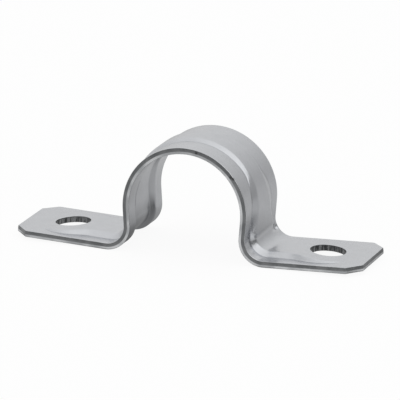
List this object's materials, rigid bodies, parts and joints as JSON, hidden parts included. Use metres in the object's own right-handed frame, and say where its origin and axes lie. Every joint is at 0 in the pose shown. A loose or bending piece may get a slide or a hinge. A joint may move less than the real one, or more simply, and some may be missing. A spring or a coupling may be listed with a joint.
{
  "type": "two-hole conduit strap",
  "caption": "Pressed steel strap with a half-round ribbed saddle over a conduit and two flat feet, each with a screw hole in a raised boss and cut corners.",
  "frame": {"origin": "middle of the base: halfway between the two screw holes, in the plane that the bends of the feet stand on", "axes": "+X along the strap towards one foot, +Y along the conduit, +Z away from the wall or floor that the strap is screwed to"},
  "size_m": [0.074, 0.019, 0.0235],
  "materials": {
    "zinc_plated_steel": "satin zinc plating, bare cut edges"
  },
  "bodies": {
    "root": {"conduit_strap": "zinc_plated_steel"}
  },
  "joints": []
}
